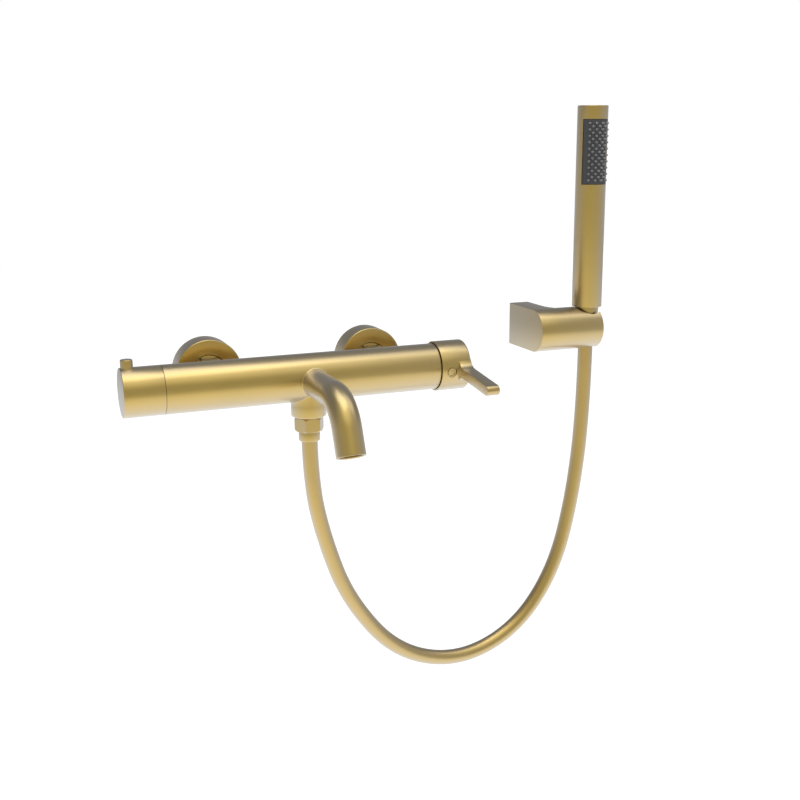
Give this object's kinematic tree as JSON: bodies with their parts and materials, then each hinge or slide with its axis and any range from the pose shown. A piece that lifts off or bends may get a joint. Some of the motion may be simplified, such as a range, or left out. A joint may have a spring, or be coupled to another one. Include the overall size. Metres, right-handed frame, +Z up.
{
  "type": "bath shower mixer",
  "caption": "Wall-mounted round bar bath and shower mixer with end lever, diverter knob, curved spout, hose, wall holder and stick handset.",
  "frame": {"origin": "on the finished wall, midway between the two inlets, at the height of the bar's axis", "axes": "+X along the bar from the diverter knob to the lever, -Y out of the wall to the user, +Z up"},
  "size_m": [0.4589, 0.204, 0.5288],
  "materials": {
    "satin_gold": "satin brushed gold coating over brass",
    "gold_hose": "smooth satin gold hose cover",
    "aerator_gold": "darker satin gold",
    "plain_brass": "machined brass",
    "spray_grey": "dark grey moulded plastic",
    "nozzle_rubber": "light grey silicone",
    "black_rubber": "black rubber",
    "white_plastic": "white moulded plastic",
    "valve_ceramic": "polished white ceramic",
    "stainless": "stainless steel"
  },
  "bodies": {
    "root": {"valve_body": "satin_gold", "hot_inlet_nipple": "plain_brass", "hot_union_nut": "plain_brass", "hot_inlet_washer": "black_rubber", "hot_inlet_filter": "stainless", "hot_check_valve": "white_plastic", "hot_s_union": "plain_brass", "hot_wall_flange": "satin_gold", "cold_inlet_nipple": "plain_brass", "cold_union_nut": "plain_brass", "cold_inlet_washer": "black_rubber", "cold_inlet_filter": "stainless", "cold_check_valve": "white_plastic", "cold_s_union": "plain_brass", "cold_wall_flange": "satin_gold", "hot_water_tube": "plain_brass", "mixed_water_tube": "plain_brass", "spout_water_tube": "plain_brass", "shower_water_tube": "plain_brass", "cartridge_gasket": "black_rubber", "cartridge_housing": "white_plastic", "cartridge_port_disc": "valve_ceramic", "cartridge_retainer": "plain_brass", "diverter_headwork": "plain_brass", "diverter_port_plate": "valve_ceramic", "diverter_seal_ring": "black_rubber", "spout_pipe": "satin_gold", "aerator_housing": "aerator_gold", "aerator_insert": "white_plastic", "shower_outlet": "satin_gold", "hose_nut": "satin_gold", "outlet_washer": "black_rubber", "outlet_hose_tail": "plain_brass", "hose_ferrule": "satin_gold", "shower_hose": "gold_hose", "holder_body": "satin_gold", "holder_plate": "stainless", "holder_grub_screw": "stainless"},
    "temperature_carrier": {"temperature_carrier": "plain_brass", "mixing_disc": "valve_ceramic", "lever_pivot_pin": "stainless"},
    "lever": {"mixer_handle": "satin_gold", "lever_stem": "plain_brass", "handle_grub_screw": "stainless", "handle_plug": "satin_gold"},
    "diverter": {"diverter_knob": "satin_gold", "diverter_pin": "satin_gold", "diverter_spindle": "plain_brass", "diverter_disc": "valve_ceramic", "diverter_grub_screw": "stainless"},
    "hose_end": {"cone_hose_tail": "plain_brass"},
    "handset": {"cone_nut": "satin_gold", "cone_washer": "black_rubber", "handset_connector": "plain_brass", "handset_shell": "satin_gold", "handset_cap": "satin_gold", "handset_waterway": "white_plastic", "spray_face": "spray_grey", "spray_nozzles": "nozzle_rubber"}
  },
  "joints": [
    {"name": "temperature_turn", "type": "hinge", "parent": "root", "child": "temperature_carrier", "pos_m": [0.1054, -0.073, 0], "axis": [1, 0, 0], "range_deg": [-50, 50]},
    {"name": "flow_tilt", "type": "hinge", "parent": "temperature_carrier", "child": "lever", "pos_m": [0.1054, -0.073, 0], "axis": [0, -0.108, 0.9942], "range_deg": [0, 20]},
    {"name": "diverter_turn", "type": "hinge", "parent": "root", "child": "diverter", "pos_m": [-0.14, -0.073, 0], "axis": [1, 0, 0], "range_deg": [0, 90]},
    {"name": "handset_lift", "type": "slide", "parent": "root", "child": "hose_end", "axis": [0, 0, 1], "range_m": [0, 0.08]},
    {"name": "handset_swivel", "type": "hinge", "parent": "hose_end", "child": "handset", "pos_m": [0.2867, -0.0485, 0.041], "axis": [0, 0, 1], "continuous": true}
  ]
}
